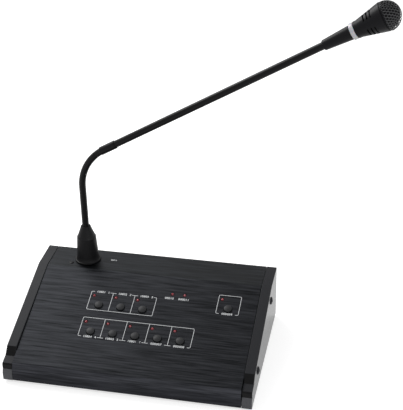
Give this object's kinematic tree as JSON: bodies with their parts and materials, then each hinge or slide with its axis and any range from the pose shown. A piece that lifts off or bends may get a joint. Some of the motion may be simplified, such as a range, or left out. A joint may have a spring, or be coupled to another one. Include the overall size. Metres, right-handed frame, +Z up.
{
  "type": "paging microphone",
  "caption": "Desk paging microphone: low sloped console with push buttons and lamps, a bendable gooseneck and a flared microphone head.",
  "frame": {"origin": "centre of the console's underside, on the bottom plate; the rubber feet reach 2.5 mm lower", "axes": "+Z up, -Y towards the person at the front of the console, +X to that person's right"},
  "size_m": [0.3172, 0.1425, 0.3204],
  "materials": {
    "panel": "black anodised, brushed from side to side",
    "cheek": "moulded, fine satin texture",
    "plate": "black powder coat",
    "screw": "black oxide",
    "foot": "matte",
    "socket": "moulded",
    "board": "solder mask",
    "switch": "moulded",
    "lamp": "tinted red",
    "button": "polished black",
    "fitting": "zinc plated",
    "boot": "satin",
    "neck": "satin black paint",
    "head_shell": "satin black paint",
    "ring": "milky white light ring",
    "grille": "black woven mesh",
    "foam": "open-cell foam",
    "capsule": "plain"
  },
  "bodies": {
    "console": {"top_panel": "panel", "left_cheek": "cheek", "right_cheek": "cheek", "bottom_plate": "plate", "rear_panel": "panel", "circuit_board": "board", "cheek_screw_1": "screw", "cheek_screw_2": "screw", "cheek_screw_3": "screw", "cheek_screw_4": "screw", "foot_1": "foot", "foot_2": "foot", "foot_3": "foot", "foot_4": "foot", "link_socket": "socket", "power_jack": "socket", "switch_1": "switch", "switch_2": "switch", "switch_3": "switch", "switch_4": "switch", "switch_5": "switch", "switch_6": "switch", "switch_7": "switch", "switch_8": "switch", "switch_9": "switch", "led_1": "lamp", "led_2": "lamp", "led_3": "lamp", "led_4": "lamp", "led_5": "lamp", "led_6": "lamp", "led_7": "lamp", "led_8": "lamp", "led_9": "lamp", "status_led_1": "lamp", "status_led_2": "lamp", "neck_stem": "fitting", "neck_nut": "fitting", "neck_boot": "boot"},
    "zone_button_1": {"zone_button_1": "button"},
    "zone_button_2": {"zone_button_2": "button"},
    "zone_button_3": {"zone_button_3": "button"},
    "zone_button_4": {"zone_button_4": "button"},
    "zone_button_5": {"zone_button_5": "button"},
    "zone_button_6": {"zone_button_6": "button"},
    "all_call_button": {"all_call_button": "button"},
    "talk_button": {"talk_button": "button"},
    "alarm_button": {"alarm_button": "button"},
    "neck_1": {"neck_link_1": "neck"},
    "neck_2": {"neck_link_2": "neck"},
    "neck_3": {"neck_link_3": "neck"},
    "neck_4": {"neck_link_4": "neck"},
    "head": {"upper_tube": "neck", "neck_ferrule": "neck", "head_tail": "head_shell", "head_ring": "ring", "head_body": "head_shell", "head_grille": "grille", "foam_insert": "foam", "capsule": "capsule"}
  },
  "joints": [
    {"name": "neck_bend_1", "type": "hinge", "parent": "console", "child": "neck_1", "pos_m": [-0.0665, 0.05425, 0.0947], "axis": [0, 1, 0], "range_deg": [-25, 15]},
    {"name": "neck_sway_1", "type": "hinge", "parent": "neck_1", "child": "neck_2", "pos_m": [-0.0665, 0.05425, 0.1127], "axis": [1, 0, 0], "range_deg": [-25, 25]},
    {"name": "neck_bend_2", "type": "hinge", "parent": "neck_2", "child": "neck_3", "pos_m": [-0.06646, 0.05425, 0.1307], "axis": [0, 1, 0], "range_deg": [-25, 15]},
    {"name": "neck_sway_2", "type": "hinge", "parent": "neck_3", "child": "neck_4", "pos_m": [-0.06221, 0.05425, 0.14807], "axis": [0.9048, 0, -0.4259], "range_deg": [-25, 25]},
    {"name": "neck_bend_3", "type": "hinge", "parent": "neck_4", "child": "head", "pos_m": [-0.05154, 0.05425, 0.16241], "axis": [0, 1, 0], "range_deg": [-25, 15]},
    {"name": "zone_press_1", "type": "slide", "parent": "console", "child": "zone_button_1", "axis": [0, 0.2976, -0.9547], "range_m": [0, 0.0006], "stiffness_N_per_m": 400, "springref_m": -0.0005},
    {"name": "zone_press_2", "type": "slide", "parent": "console", "child": "zone_button_2", "axis": [0, 0.2976, -0.9547], "range_m": [0, 0.0006], "stiffness_N_per_m": 400, "springref_m": -0.0005},
    {"name": "zone_press_3", "type": "slide", "parent": "console", "child": "zone_button_3", "axis": [0, 0.2976, -0.9547], "range_m": [0, 0.0006], "stiffness_N_per_m": 400, "springref_m": -0.0005},
    {"name": "zone_press_4", "type": "slide", "parent": "console", "child": "zone_button_4", "axis": [0, 0.2976, -0.9547], "range_m": [0, 0.0006], "stiffness_N_per_m": 400, "springref_m": -0.0005},
    {"name": "zone_press_5", "type": "slide", "parent": "console", "child": "zone_button_5", "axis": [0, 0.2976, -0.9547], "range_m": [0, 0.0006], "stiffness_N_per_m": 400, "springref_m": -0.0005},
    {"name": "zone_press_6", "type": "slide", "parent": "console", "child": "zone_button_6", "axis": [0, 0.2976, -0.9547], "range_m": [0, 0.0006], "stiffness_N_per_m": 400, "springref_m": -0.0005},
    {"name": "all_call_press", "type": "slide", "parent": "console", "child": "all_call_button", "axis": [0, 0.2976, -0.9547], "range_m": [0, 0.0006], "stiffness_N_per_m": 400, "springref_m": -0.0005},
    {"name": "talk_press", "type": "slide", "parent": "console", "child": "talk_button", "axis": [0, 0.2976, -0.9547], "range_m": [0, 0.0006], "stiffness_N_per_m": 400, "springref_m": -0.0005},
    {"name": "alarm_press", "type": "slide", "parent": "console", "child": "alarm_button", "axis": [0, 0.2976, -0.9547], "range_m": [0, 0.0006], "stiffness_N_per_m": 400, "springref_m": -0.0005}
  ]
}
